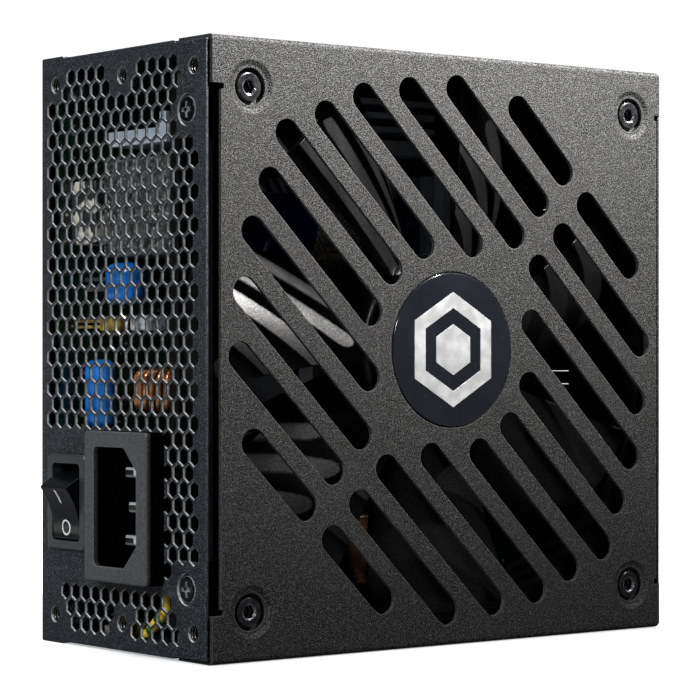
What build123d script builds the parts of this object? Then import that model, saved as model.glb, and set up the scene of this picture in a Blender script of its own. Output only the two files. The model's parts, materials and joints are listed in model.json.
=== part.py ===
from build123d import *
import os
from math import atan, cos, degrees, radians, sin, sqrt

os.makedirs("parts", exist_ok=True)

# A compact computer power supply unit, standing on its long side.
# Millimetres. Origin: middle of the base face. -X is the panel with the mains inlet, +X the
# panel with the output sockets, -Y the fan side, +Y the closed back wall, +Z up.

# ---------------------------------------------------------------- driving dimensions

length = 125.0
depth = 63.5
height = 125.0

x_rear = -length / 2
x_front = length / 2
y_fan = -depth / 2
y_back = depth / 2
z_mid = height / 2

tray_sheet = 0.5
cover_sheet = 0.8
sheet_gap = 0.1

# cover
cover_setback = 1.0
flange_depth = 11.75
tab_height = 9.7
rear_relief = 2.1
front_relief = 1.65
nick = 1.2

# fan and its slots
fan_x = 0.5
fan_z = z_mid
fan_size = 120.0
fan_pitch = 105.0
fan_thickness = 15.0
screw_points = [
    (fan_x + across * fan_pitch / 2, fan_z + up * fan_pitch / 2)
    for across in (-1, 1)
    for up in (-1, 1)
]
slot_width = 6.0
slot_pitch = 10.0
slot_band = 5.0
slot_inner_radius = 23.3
slot_outer_radius = 55.2
slot_corner_reach = 61.6
slot_corner_slope = 0.4
dimple_depth = 0.5
dimple_rim = 10.8
dimple_floor = 8.8
cup_radius = 3.8
cup_depth = 1.4
screw_seat = dimple_depth + cup_depth

# rear panel
mount_y = -0.75
mount_spacing_y = 51.5
mount_spacing_z = 113.0
mount_bore = 3.5
cover_screw_y = -24.15
cover_screw_spacing = 95.8
hex_pitch = 3.81
hex_flats = 3.35
hex_rows = 36

# mains inlet and switch share one height
inlet_y = -4.65
inlet_z = 30.2
inlet_width = 23.2
inlet_height = 31.0
inlet_proud = 4.35
opening_width = 15.8
opening_height = 24.6
cavity_depth = 16.3
switch_y = 19.3
switch_width = 14.8
switch_height = 20.2
switch_proud = 1.0
rocker_width = 10.2
rocker_rest = 17.2
pivot_x = x_rear + 5.0
pivot_radius = 1.1

# circuit boards
board_sheet = 1.6
board_front = 26.65
board_x = (-60.0, 44.0)
board_z = (3.0, 122.0)
board_holes_x = (-56.5, -7.75, 41.0)
board_holes_z = (6.0, 119.0)
hole_points = [(x, z) for x in board_holes_x for z in board_holes_z]
socket_board_x = 46.5
cell = 4.2


def at_x(x):
    """A plane at x that sees Y across and Z up; an extrusion runs towards +X."""
    return Plane.YZ.offset(x)


def at_y(y):
    """A plane at y that sees X across and Z up; an extrusion runs towards the fan side, -Y."""
    return Plane.XZ.offset(-y)


def write(piece, name):
    """Label a finished piece and write it to its own file."""
    piece.part.label = name
    export_step(piece.part, f"parts/{name}.step")


def block(x, y, z, rounding=0):
    """A block between pairs of limits, with its edges rounded where a radius is given."""
    with BuildPart() as piece:
        with BuildSketch(at_x(x[0])):
            with Locations(((y[0] + y[1]) / 2, (z[0] + z[1]) / 2)):
                Rectangle(y[1] - y[0], z[1] - z[0])
        extrude(amount=x[1] - x[0])
        if rounding:
            fillet(piece.edges(), rounding)
    return piece


# ---------------------------------------------------------------- housing tray

top_joggle = cover_sheet + sheet_gap
back_corner = 2.0
flange_inner_y = y_fan + cover_sheet
joggle_y = y_fan + flange_depth + sheet_gap
mount_points = [
    (mount_y + side * mount_spacing_y / 2, z_mid + level * mount_spacing_z / 2)
    for side in (-1, 0, 1)
    for level in (-1, 1)
]
cover_screw_points = [
    (cover_screw_y, z_mid + level * cover_screw_spacing / 2) for level in (-1, 1)
]


def tray_block(inset, open_side):
    """The outline of the tray, drawn in by inset, with its mouth at open_side and its back rounded."""
    low = inset
    high = height - inset
    with BuildPart() as outline:
        with BuildSketch(at_x(x_rear + inset)):
            with BuildLine():
                Polyline(
                    (open_side, low + top_joggle),
                    (joggle_y, low + top_joggle),
                    (joggle_y + top_joggle, low),
                    (y_back - inset, low),
                    (y_back - inset, high),
                    (joggle_y + top_joggle, high),
                    (joggle_y, high - top_joggle),
                    (open_side, high - top_joggle),
                    close=True,
                )
            make_face()
        extrude(amount=length - 2 * inset)
        fillet(outline.faces().sort_by(Axis.Y)[-1].edges(), back_corner - inset)
    return outline


def near(point, centres, reach):
    return any(sqrt((point[0] - y) ** 2 + (point[1] - z) ** 2) < reach for y, z in centres)


def honeycomb():
    """Centres of the vent hexagons: a staggered grid less the lands round each fitting."""
    corner_land = 4.4
    middle_land = 4.85
    screw_land = 5.2
    corners = [point for point in mount_points if point[0] != mount_y]
    middles = [point for point in mount_points if point[0] == mount_y]
    row_pitch = hex_pitch * sqrt(3) / 2
    fittings_z = (inlet_z - 17.3, inlet_z + 15.8)
    fittings_y = inlet_y - 11.8
    centres = []
    for row in range(hex_rows):
        z = z_mid + ((hex_rows - 1) / 2 - row) * row_pitch
        count = 15 - row % 2
        for column in range(count):
            y = (column - (count - 1) / 2) * hex_pitch
            beside = fittings_z[0] < z < fittings_z[1] and y > fittings_y
            below_switch = z > 10.0 and z < fittings_z[1] and y > 23.0
            landed = near((y, z), corners, corner_land) or near((y, z), middles, middle_land)
            screwed = near((y, z), cover_screw_points, screw_land)
            if not (beside or below_switch or landed or screwed):
                centres.append((y, z))
    return centres


socket_rows = {
    17.5: [("main_socket_18", 9), ("main_socket_10", 5), ("power_socket_1", 4), ("drive_socket_1", 3)],
    3.5: [
        ("power_socket_2", 4),
        ("power_socket_3", 4),
        ("power_socket_4", 4),
        ("drive_socket_2", 3),
        ("drive_socket_3", 3),
    ],
}
socket_gap = 3.2
socket_short = 9.6


def socket_height(columns):
    return columns * cell + 1.2


def socket_places():
    """Name, columns and centre of every output socket, stacked from the base upwards."""
    places = []
    for y, names in socket_rows.items():
        total = sum(socket_height(columns) for name, columns in names)
        total += socket_gap * (len(names) - 1)
        z = z_mid - total / 2
        for name, columns in names:
            tall = socket_height(columns)
            places.append((name, columns, y, z + tall / 2))
            z += tall + socket_gap
    return places


sockets = socket_places()
set_in = 0.4
set_in_y = (joggle_y, 22.0)
set_in_run = 5.5
tray_shell = tray_block(0, flange_inner_y)
tray_hollow = tray_block(tray_sheet, flange_inner_y - 1)

with BuildPart() as housing_tray:
    add(tray_shell.part)
    add(tray_hollow.part, mode=Mode.SUBTRACT)
    # top and bottom are set in beside the rear panel, up to a little short of the back corner
    set_in_mid = sum(set_in_y) / 2
    set_in_span = set_in_y[1] - set_in_y[0]
    for z, inward in ((0, 1), (height, -1)):
        inner_z = z + inward * (tray_sheet + set_in / 2)
        with Locations((x_rear + (set_in_run + 0.5) / 2, set_in_mid, inner_z)):
            Box(set_in_run + 0.5, set_in_span, set_in)
        with Locations((x_rear + set_in_run / 2, set_in_mid, z + inward * set_in / 2)):
            Box(set_in_run, set_in_span, set_in, mode=Mode.SUBTRACT)
    # collars of the six threaded fixing holes and the dimples of the two cover screws
    with BuildSketch(at_x(x_rear + tray_sheet)):
        with Locations(*mount_points):
            Circle(mount_bore / 2 + 0.75)
    extrude(amount=1.8)
    with BuildSketch(at_x(x_rear)):
        with Locations(*mount_points):
            Circle(mount_bore / 2)
    extrude(amount=3.0, mode=Mode.SUBTRACT)
    for x, inward in ((x_rear, 1), (x_front, -1)):
        with BuildSketch(at_x(x + inward * tray_sheet)):
            with Locations(*cover_screw_points):
                Circle(3.8)
        extrude(amount=inward * tray_sheet)
        with BuildSketch(at_x(x)):
            with Locations(*cover_screw_points):
                Circle(3.25)
        extrude(amount=inward * tray_sheet, mode=Mode.SUBTRACT)
        with BuildSketch(at_x(x)):
            with Locations(*cover_screw_points):
                Circle(1.65)
        extrude(amount=inward * 2 * tray_sheet, mode=Mode.SUBTRACT)
    # cut-outs for the inlet and the switch
    with BuildSketch(at_x(x_rear)):
        with Locations((inlet_y, inlet_z)):
            Rectangle(opening_width + 2.8, opening_height + 2.6)
        with Locations((switch_y, inlet_z)):
            Rectangle(switch_width - 2.0, switch_height - 1.0)
    extrude(amount=tray_sheet, mode=Mode.SUBTRACT)
    # cut-outs for the output sockets
    with BuildSketch(at_x(x_front - tray_sheet)):
        for name, columns, y, z in sockets:
            with Locations((y, z)):
                Rectangle(socket_short + 0.3, socket_height(columns) + 0.3)
    extrude(amount=tray_sheet, mode=Mode.SUBTRACT)
    # seats of the clinched board standoffs
    with BuildSketch(at_y(y_back)):
        with Locations(*hole_points):
            Circle(2.1)
    extrude(amount=tray_sheet, mode=Mode.SUBTRACT)
    # the honeycomb vent
    with BuildSketch(at_x(x_rear)):
        with Locations(*honeycomb()):
            RegularPolygon(hex_flats / sqrt(3), 6, rotation=30)
    extrude(amount=tray_sheet, clean=False, mode=Mode.SUBTRACT)

write(housing_tray, "housing_tray")

# ---------------------------------------------------------------- fan cover

cover_x = (x_rear + cover_setback, x_front)
cover_mid = sum(cover_x) / 2
cover_length = cover_x[1] - cover_x[0]


def slot_ends(row):
    """How far from the middle of the pattern the two end arcs of a slot are centred."""
    offset = abs(row) * slot_pitch
    inner = sqrt(max(slot_inner_radius ** 2 - offset ** 2, slot_band ** 2))
    if offset < 3 * slot_pitch:
        return inner, slot_corner_reach - slot_corner_slope * offset
    return inner, sqrt(slot_outer_radius ** 2 - offset ** 2)


ear_y = (-28.8, -19.6)
ear_x = 2 * tray_sheet
ear_low_z = cover_screw_spacing / 2 - 5.5

with BuildPart() as fan_cover:
    with BuildSketch(at_y(y_fan + flange_depth)):
        with Locations((cover_mid, z_mid)):
            Rectangle(cover_length, height)
    extrude(amount=flange_depth)
    fillet(fan_cover.faces().sort_by(Axis.Y)[0].edges().filter_by(Axis.X), 1.0)
    fillet(fan_cover.edges().filter_by(Axis.Y).group_by(Axis.X)[-1], 1.2)
    with BuildSketch(at_y(y_fan + flange_depth)):
        with Locations((cover_mid, z_mid)):
            Rectangle(cover_length + 2, height - 2 * cover_sheet)
    extrude(amount=flange_depth - cover_sheet, mode=Mode.SUBTRACT)
    # both ends are cut back between corner tabs, with a small relief nick at each tab
    run = height - 2 * tab_height
    for x, relief in ((cover_x[0], rear_relief), (cover_x[1], front_relief)):
        with Locations((x, y_fan + cover_sheet / 2, z_mid)):
            Box(2 * relief, cover_sheet, run, mode=Mode.SUBTRACT)
        for z in (tab_height + nick / 2, height - tab_height - nick / 2):
            with Locations((x, y_fan + cover_sheet / 2, z)):
                Box(2 * relief + 1.4, cover_sheet, nick, mode=Mode.SUBTRACT)
    # ears that reach in behind the end panels and take the cover screws
    for x in (x_rear + ear_x + cover_sheet / 2, x_front - ear_x - cover_sheet / 2):
        for up in (-1, 1):
            root_z = z_mid + up * (height / 2 - 1.7 - 3.9)
            with Locations((x, (flange_inner_y + ear_y[1]) / 2, root_z)):
                Box(cover_sheet, ear_y[1] - flange_inner_y, 7.8)
            ear_z = z_mid + up * (ear_low_z + height / 2 - 1.7) / 2
            with Locations((x, sum(ear_y) / 2, ear_z)):
                Box(cover_sheet, ear_y[1] - ear_y[0], height / 2 - 1.7 - ear_low_z)
    with BuildSketch(at_x(x_rear)):
        with Locations(*cover_screw_points):
            Circle(1.5)
        with Locations(*mount_points[:2]):
            Circle(2.9)
    extrude(amount=length, mode=Mode.SUBTRACT)
    # the fan screws sit in deep cups, each in the middle of a shallow dimple
    slope = degrees(atan((dimple_rim - dimple_floor) / 2 / dimple_depth))
    with BuildSketch(at_y(y_fan + dimple_depth + cover_sheet)):
        with Locations(*screw_points):
            Circle(dimple_floor / 2 + 0.5)
    extrude(amount=dimple_depth)
    with BuildSketch(at_y(y_fan + screw_seat + cover_sheet)):
        with Locations(*screw_points):
            Circle(cup_radius + 0.6)
    extrude(amount=cup_depth + cover_sheet / 2)
    with BuildSketch(at_y(y_fan + dimple_depth)):
        with Locations(*screw_points):
            Circle(dimple_floor / 2)
    extrude(amount=dimple_depth, taper=-slope, mode=Mode.SUBTRACT)
    with BuildSketch(at_y(y_fan + screw_seat)):
        with Locations(*screw_points):
            Circle(cup_radius)
    extrude(amount=screw_seat, mode=Mode.SUBTRACT)
    with BuildSketch(at_y(y_fan + 4)):
        with Locations(*screw_points):
            Circle(2.3)
    extrude(amount=6, mode=Mode.SUBTRACT)
    # shallow round seat for the badge
    with BuildSketch(at_y(y_fan + cover_sheet + 0.3)):
        with Locations((fan_x, fan_z)):
            Circle(17.2)
    extrude(amount=0.3)
    with BuildSketch(at_y(y_fan + 0.4)):
        with Locations((fan_x, fan_z)):
            Circle(16.6)
    extrude(amount=0.4, mode=Mode.SUBTRACT)
    # eleven rows of slanted slots, each split by a band through the middle
    with BuildSketch(at_y(y_fan + cover_sheet)):
        for row in range(-5, 6):
            inner, outer = slot_ends(row)
            for side in (-1, 1):
                along = side * (inner + outer) / 2
                across = row * slot_pitch
                centre_x = fan_x + (along + across) * cos(radians(45))
                centre_z = fan_z + (across - along) * sin(radians(45))
                with Locations((centre_x, centre_z)):
                    SlotCenterToCenter(outer - inner, slot_width, rotation=-45)
    extrude(amount=cover_sheet, mode=Mode.SUBTRACT)

write(fan_cover, "fan_cover")

# ---------------------------------------------------------------- badge and screws

with BuildPart() as badge_disc:
    with BuildSketch(at_y(y_fan + 0.4)):
        with Locations((fan_x, fan_z)):
            Circle(16.3)
    extrude(amount=0.7)
    fillet(badge_disc.faces().sort_by(Axis.Y)[0].edges(), 0.25)

write(badge_disc, "badge_disc")

with BuildPart() as badge_emblem:
    with BuildSketch(at_y(y_fan - 0.3)):
        with Locations((fan_x, fan_z)):
            RegularPolygon(12.2, 6, rotation=30)
            RegularPolygon(8.8, 6, rotation=30, mode=Mode.SUBTRACT)
            RegularPolygon(5.4, 6, rotation=30)
    extrude(amount=0.12)

write(badge_emblem, "badge_emblem")

screw_head = 5.9
head_tall = 1.2
with BuildPart() as fan_screws:
    with BuildSketch(at_y(y_fan + screw_seat)):
        with Locations(*screw_points):
            Circle(screw_head / 2)
    extrude(amount=head_tall)
    fillet(fan_screws.faces().group_by(Axis.Y)[0].edges(), 0.3)
    with BuildSketch(at_y(y_fan + screw_seat + 7.0)):
        with Locations(*screw_points):
            Circle(1.95)
    extrude(amount=7.0)
    with BuildSketch(at_y(y_fan + screw_seat - head_tall + 0.3)):
        with Locations(*screw_points):
            Circle(1.6)
    extrude(amount=1.0, mode=Mode.SUBTRACT)
    with BuildSketch(at_y(y_fan + screw_seat + 0.5)):
        with Locations(*screw_points):
            RegularPolygon(1.3, 6, major_radius=False)
    extrude(amount=2.0, mode=Mode.SUBTRACT)

write(fan_screws, "fan_screws")

with BuildPart() as cover_screws:
    for x, inward in ((x_rear, 1), (x_front, -1)):
        seat = x + inward * tray_sheet
        with BuildSketch(at_x(seat)):
            with Locations(*cover_screw_points):
                Circle(2.65)
        extrude(amount=-inward * tray_sheet)
        heads = cover_screws.faces().filter_by(Axis.X).group_by(Axis.X)[0 if inward > 0 else -1]
        fillet(heads.edges(), 0.4)
        with BuildSketch(at_x(seat)):
            with Locations(*cover_screw_points):
                Circle(1.45)
        extrude(amount=inward * 2.1)
        with BuildSketch(at_x(seat - inward * tray_sheet)):
            for y, z in cover_screw_points:
                with Locations((y, z)):
                    Rectangle(3.2, 0.8)
                    Rectangle(0.8, 3.2)
                    Rectangle(1.5, 1.5, rotation=45)
        extrude(amount=inward * 0.45, mode=Mode.SUBTRACT)
        with BuildSketch(at_x(seat - inward * tray_sheet)):
            with Locations(*cover_screw_points):
                Circle(0.6)
        extrude(amount=inward * 1.5, mode=Mode.SUBTRACT)

write(cover_screws, "cover_screws")

# ---------------------------------------------------------------- fan

frame_front = y_fan + screw_seat + cover_sheet
frame_back = frame_front + fan_thickness
duct_radius = 57.6
flange_sheet = 3.2
plate_radius = 21.0
plate_thick = 2.0

with BuildPart() as fan_frame:
    for y in (frame_front + flange_sheet, frame_back):
        with BuildSketch(at_y(y)):
            with Locations((fan_x, fan_z)):
                RectangleRounded(fan_size, fan_size, 4.5)
        extrude(amount=flange_sheet)
    with BuildSketch(at_y(frame_back)):
        with Locations((fan_x, fan_z)):
            Circle(duct_radius + 1.8)
        with Locations(*screw_points):
            Circle(4.2)
    extrude(amount=fan_thickness)
    with BuildSketch(at_y(frame_back)):
        with Locations((fan_x, fan_z)):
            Circle(duct_radius)
    extrude(amount=fan_thickness, mode=Mode.SUBTRACT)
    with BuildSketch(at_y(frame_back)):
        with Locations(*screw_points):
            Circle(2.1)
    extrude(amount=fan_thickness, mode=Mode.SUBTRACT)
    # motor plate, four struts and the bearing tube
    with BuildSketch(at_y(frame_back)):
        with Locations((fan_x, fan_z)):
            with PolarLocations((plate_radius + duct_radius) / 2, 4, start_angle=20):
                Rectangle(duct_radius - plate_radius + 1.5, 4.5)
            Circle(plate_radius)
    extrude(amount=plate_thick)
    with BuildSketch(at_y(frame_back)):
        with Locations((fan_x, fan_z)):
            Circle(4.5)
    extrude(amount=9.5)
    with BuildSketch(at_y(frame_back)):
        with Locations((fan_x, fan_z)):
            Circle(3.5)
    extrude(amount=9.5, mode=Mode.SUBTRACT)

write(fan_frame, "fan_frame")

with BuildPart() as fan_bearing:
    with BuildSketch(at_y(frame_back - 1.0)):
        with Locations((fan_x, fan_z)):
            Circle(3.45)
            Circle(1.55, mode=Mode.SUBTRACT)
    extrude(amount=8.0)

write(fan_bearing, "fan_bearing")

with BuildPart() as fan_stator:
    with BuildSketch(at_y(frame_back - plate_thick - 0.6)):
        with Locations((fan_x, fan_z)):
            with PolarLocations(9.2, 4):
                Rectangle(9.4, 6.5)
            Circle(7.0)
            Circle(4.55, mode=Mode.SUBTRACT)
    extrude(amount=5.5)

write(fan_stator, "fan_stator")

blade_count = 7
blade_start = 10.0
hub_radius = 20.5
blade_tip = 56.4
rotor_front = frame_front + 1.0
rotor_back = frame_back - plate_thick - 0.6
blade_mid = (rotor_front + rotor_back) / 2 - 0.3
# each blade section: radius, chord, pitch angle, camber, sideways sweep
blade_sections = [
    (18.0, 17.0, 38.0, 1.6, 0.0),
    (38.0, 27.0, 25.0, 2.6, 3.0),
    (59.0, 35.0, 17.5, 3.2, 9.0),
]

with BuildPart() as blade:
    for radius, chord, pitch, camber, sweep_out in blade_sections:
        along = (0, cos(radians(pitch)), sin(radians(pitch)))
        with BuildSketch(Plane(origin=(radius, sweep_out, 0), x_dir=along, z_dir=(1, 0, 0))):
            with BuildLine():
                ThreePointArc((-chord / 2, 0), (0, camber), (chord / 2, 0))
                ThreePointArc((chord / 2, 0), (0, camber - 1.5), (-chord / 2, 0))
            make_face()
    loft()
    with BuildSketch(Plane.XY.offset(-20)):
        Circle(blade_tip)
        Circle(hub_radius - 1.0, mode=Mode.SUBTRACT)
    extrude(amount=40, mode=Mode.INTERSECT)

rotor_plane = Plane(origin=(fan_x, blade_mid, fan_z), x_dir=(1, 0, 0), z_dir=(0, -1, 0))
front_z = blade_mid - rotor_front
back_z = blade_mid - rotor_back
with BuildPart(rotor_plane) as fan_rotor:
    with BuildSketch(rotor_plane.offset(back_z)):
        Circle(hub_radius)
    extrude(amount=front_z - back_z)
    fillet(fan_rotor.faces().sort_by(Axis.Y)[0].edges(), 1.5)
    with BuildSketch(rotor_plane.offset(back_z)):
        Circle(hub_radius - 1.6)
    extrude(amount=front_z - back_z - 1.8, mode=Mode.SUBTRACT)
    with BuildSketch(rotor_plane.offset(front_z - 4.2)):
        Circle(3.2)
    extrude(amount=3.0)
    with BuildSketch(rotor_plane.offset(front_z - 5.0)):
        Circle(1.5)
    extrude(amount=4.0, mode=Mode.SUBTRACT)
    with PolarLocations(0, blade_count, start_angle=blade_start):
        add(blade.part)

write(fan_rotor, "fan_rotor")

with BuildPart() as fan_shaft:
    with BuildSketch(at_y(frame_back - 1.2)):
        with Locations((fan_x, fan_z)):
            Circle(1.5)
    extrude(amount=frame_back - 1.2 - (rotor_front + 1.0))

write(fan_shaft, "fan_shaft")

with BuildPart() as fan_magnet:
    with BuildSketch(at_y(rotor_back)):
        with Locations((fan_x, fan_z)):
            Circle(hub_radius - 1.6)
            Circle(hub_radius - 3.8, mode=Mode.SUBTRACT)
    extrude(amount=7.0)

write(fan_magnet, "fan_magnet")

# two-wire lead in one sleeve, from the motor plate to its socket on the main board
lead_radius = 1.1
lead_x = 27.0
lead_z = 9.0
lead_y = frame_back + 5.0
lead_points = [
    (10.0, frame_back, 52.0),
    (10.0, lead_y, 52.0),
    (lead_x, lead_y, lead_z),
    (lead_x, 20.0, lead_z),
]
with BuildPart() as fan_lead:
    with BuildLine() as lead_route:
        FilletPolyline(*lead_points, radius=[4.5, 12.0])
    with BuildSketch(Plane(origin=lead_points[0], z_dir=(0, 1, 0))):
        Circle(lead_radius)
    sweep()

write(fan_lead, "fan_lead")

fan_connector = block((lead_x - 3, lead_x + 3), (20.0, board_front), (lead_z - 3, lead_z + 3), 0.3)
write(fan_connector, "fan_connector")

# ---------------------------------------------------------------- mains inlet

inlet_front = x_rear - inlet_proud
inlet_back = x_rear + 14.5
chamfer_size = 4.6
pin_y = inlet_y + 2.0
pin_places = [(pin_y, inlet_z - 7.0, 5.0), (pin_y, inlet_z + 7.0, 5.0), (pin_y - 4.0, inlet_z, 3.2)]

with BuildPart() as inlet_body:
    with BuildSketch(at_x(inlet_front)):
        with Locations((inlet_y, inlet_z)):
            RectangleRounded(inlet_width, inlet_height, 1.0)
    extrude(amount=inlet_proud)
    fillet(inlet_body.faces().sort_by(Axis.X)[0].edges(), 0.5)
    with BuildSketch(at_x(x_rear)):
        with Locations((inlet_y, inlet_z)):
            Rectangle(opening_width + 2.6, opening_height + 2.4)
    extrude(amount=inlet_back - x_rear)
    # mouth with its two keyed corners on the fan side
    with BuildSketch(at_x(inlet_front)) as mouth:
        with Locations((inlet_y, inlet_z)):
            Rectangle(opening_width, opening_height)
        chamfer(mouth.vertices().group_by(Axis.X)[0], chamfer_size)
        fillet(mouth.vertices().group_by(Axis.X)[-1], 1.2)
    extrude(amount=cavity_depth, mode=Mode.SUBTRACT)
    with BuildSketch(at_x(inlet_front)):
        for y, z, recess in pin_places:
            with Locations((y, z)):
                Rectangle(4.1, 2.1)
    extrude(amount=inlet_back - inlet_front, mode=Mode.SUBTRACT)

write(inlet_body, "inlet_body")

pin_tail = x_rear + 21.4
with BuildPart() as inlet_pins:
    for y, z, recess in pin_places:
        with BuildSketch(at_x(inlet_front + recess)):
            with Locations((y, z)):
                Rectangle(4.0, 2.0)
        extrude(amount=pin_tail - inlet_front - recess)
    tips = inlet_pins.faces().filter_by(Axis.X).group_by(Axis.X)
    for group in tips[:2]:
        chamfer(group.edges(), 0.5)

write(inlet_pins, "inlet_pins")

filter_board_x = x_rear + 19.5
with BuildPart() as filter_board:
    with BuildSketch(at_x(filter_board_x)):
        with Locations((-1.5, 24.0)):
            Rectangle(23.0, 42.0)
        for y, z, recess in pin_places:
            with Locations((y, z)):
                Rectangle(4.4, 2.4, mode=Mode.SUBTRACT)
    extrude(amount=board_sheet)

write(filter_board, "filter_board")

# ---------------------------------------------------------------- rocker switch

well_width = rocker_width + 0.5
well_height = 16.4
switch_back = x_rear + 15.5

with BuildPart() as switch_body:
    with BuildSketch(at_x(x_rear - switch_proud)):
        with Locations((switch_y, inlet_z)):
            RectangleRounded(switch_width, switch_height, 1.2)
    extrude(amount=switch_proud)
    fillet(switch_body.faces().sort_by(Axis.X)[0].edges(), 0.4)
    with BuildSketch(at_x(x_rear)):
        with Locations((switch_y, inlet_z)):
            Rectangle(switch_width - 2.2, switch_height - 1.2)
    extrude(amount=switch_back - x_rear)
    with BuildSketch(at_x(x_rear - switch_proud)):
        with Locations((switch_y, inlet_z)):
            RectangleRounded(well_width, well_height, 1.0)
    extrude(amount=switch_proud + 11.0, mode=Mode.SUBTRACT)
    with BuildSketch(at_y(switch_y + switch_width / 2 - 1.1)):
        with Locations((pivot_x, inlet_z)):
            Circle(pivot_radius + 0.06)
    extrude(amount=switch_width - 2.2, mode=Mode.SUBTRACT)

write(switch_body, "switch_body")

# the rocker is drawn level about its pivot and turned to its rest, lower end pressed in
rocker_plane = Plane(
    origin=(pivot_x, switch_y + rocker_width / 2, inlet_z),
    x_dir=(-sin(radians(rocker_rest)), 0, cos(radians(rocker_rest))),
    z_dir=(0, -1, 0),
)
trunnion = rocker_width + 2 * 0.95

with BuildPart() as switch_rocker:
    with BuildSketch(rocker_plane) as rocker_profile:
        with BuildLine():
            ThreePointArc((-5.8, 8.0), (0, 6.75), (5.8, 8.0))
            Polyline(
                (5.8, 8.0), (6.6, 5.2), (7.3, 1.8), (5.2, -2.0), (1.6, -2.6), (1.0, -4.6),
                (-1.0, -4.6), (-1.6, -2.6), (-5.2, -2.0), (-7.3, 1.8), (-6.6, 5.2), (-5.8, 8.0),
            )
        make_face()
        fillet(rocker_profile.vertices().group_by(Axis.Y)[-1], 0.35)
    extrude(amount=rocker_width)
    with BuildSketch(at_y(switch_y + trunnion / 2)):
        with Locations((pivot_x, inlet_z)):
            Circle(pivot_radius)
    extrude(amount=trunnion)

write(switch_rocker, "switch_rocker")

with BuildPart() as switch_terminals:
    for z in (inlet_z - 5.0, inlet_z + 5.0):
        for y in (switch_y - 3.0, switch_y + 3.0):
            with BuildSketch(at_x(switch_back)):
                with Locations((y, z)):
                    Rectangle(0.8, 4.8)
            extrude(amount=6.3)

write(switch_terminals, "switch_terminals")

# ---------------------------------------------------------------- main board and its fixings

board_back = board_front + board_sheet
inner_wall = y_back - tray_sheet

with BuildPart() as main_board:
    with BuildSketch(at_y(board_back)):
        with Locations((sum(board_x) / 2, sum(board_z) / 2)):
            Rectangle(board_x[1] - board_x[0], board_z[1] - board_z[0])
        with Locations(*hole_points):
            Circle(1.6, mode=Mode.SUBTRACT)
    extrude(amount=board_sheet)

write(main_board, "main_board")

with BuildPart() as board_standoffs:
    with BuildSketch(at_y(inner_wall)):
        with Locations(*hole_points):
            RegularPolygon(2.75, 6, major_radius=False)
    extrude(amount=inner_wall - board_back)
    with BuildSketch(at_y(y_back)):
        with Locations(*hole_points):
            Circle(2.05)
    extrude(amount=tray_sheet)
    with BuildSketch(at_y(y_back - 0.6)):
        with Locations(*hole_points):
            Circle(1.45)
    extrude(amount=4.0, mode=Mode.SUBTRACT)

write(board_standoffs, "board_standoffs")

with BuildPart() as board_screws:
    with BuildSketch(at_y(board_front)):
        with Locations(*hole_points):
            Circle(2.75)
    extrude(amount=1.8)
    fillet(board_screws.faces().group_by(Axis.Y)[0].edges(), 0.7)
    with BuildSketch(at_y(inner_wall - 0.3)):
        with Locations(*hole_points):
            Circle(1.4)
    extrude(amount=inner_wall - 0.3 - board_front)

write(board_screws, "board_screws")

with BuildPart() as insulating_sheet:
    with BuildSketch(at_y(inner_wall)):
        with Locations((sum(board_x) / 2, sum(board_z) / 2)):
            Rectangle(board_x[1] - board_x[0], board_z[1] - board_z[0] - 15)
    extrude(amount=0.25)

write(insulating_sheet, "insulating_sheet")

# ---------------------------------------------------------------- wound parts


def toroid(centre, plane_of, outer, inner, thick, grow=0.0):
    """A rounded ring about centre; grow thickens it all round, for a winding."""
    with BuildPart() as ring:
        with BuildSketch(plane_of(centre[0])):
            with Locations(centre[1:]):
                Circle(outer + grow)
                Circle(inner - grow, mode=Mode.SUBTRACT)
        extrude(amount=thick / 2 + grow, both=True)
        fillet(ring.edges(), 0.8 + grow / 2)
    return ring


def wound_toroid(centre, plane_of, outer, inner, thick, wire):
    """The ring core, and its winding as a skin of one wire's thickness round it."""
    core = toroid(centre, plane_of, outer, inner, thick)
    hole = toroid(centre, plane_of, outer, inner, thick)
    with BuildPart() as winding:
        add(toroid(centre, plane_of, outer, inner, thick, wire).part)
        add(hole.part, mode=Mode.SUBTRACT)
    return core, winding


choke_mid = (-44.5, 0.0, 54.0)
line_choke_core, line_choke_winding = wound_toroid(
    (choke_mid[2], choke_mid[0], choke_mid[1]), Plane.XY.offset, 11.0, 6.0, 6.6, 1.2
)
write(line_choke_core, "line_choke_core")
write(line_choke_winding, "line_choke_winding")

boost_choke_core, boost_choke_winding = wound_toroid((18.6, -21.0, 22.5), at_y, 15.5, 8.0, 12.0, 1.4)
write(boost_choke_core, "boost_choke_core")
write(boost_choke_winding, "boost_choke_winding")

# main transformer: ferrite frame with a middle leg, and a taped winding round that leg
transformer_mid = (5.0, 57.0)
core_wide = 34.0
core_y = (0.5, 21.5)
core_mid_y = sum(core_y) / 2
leg_half = 5.5
yoke = 6.0
side_leg = 6.0
window_wide = core_wide - 2 * side_leg
window_tall = core_wide - 2 * yoke
winding_y = (-4.0, board_front)

with BuildPart() as transformer_core:
    with BuildSketch(at_y(core_y[1])):
        with Locations(transformer_mid):
            Rectangle(core_wide, core_wide)
            Rectangle(window_wide, window_tall, mode=Mode.SUBTRACT)
            Rectangle(2 * leg_half, window_tall)
    extrude(amount=core_y[1] - core_y[0])

write(transformer_core, "transformer_core")

with BuildPart() as transformer_winding:
    with BuildSketch(Plane.XY.offset(transformer_mid[1] - window_tall / 2)):
        with Locations((transformer_mid[0], sum(winding_y) / 2)):
            RectangleRounded(window_wide - 0.4, winding_y[1] - winding_y[0], 5.0)
        with Locations((transformer_mid[0], core_mid_y)):
            Rectangle(2 * leg_half + 0.02, core_y[1] - core_y[0] + 0.02, mode=Mode.SUBTRACT)
    extrude(amount=window_tall)

write(transformer_winding, "transformer_winding")

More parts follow.
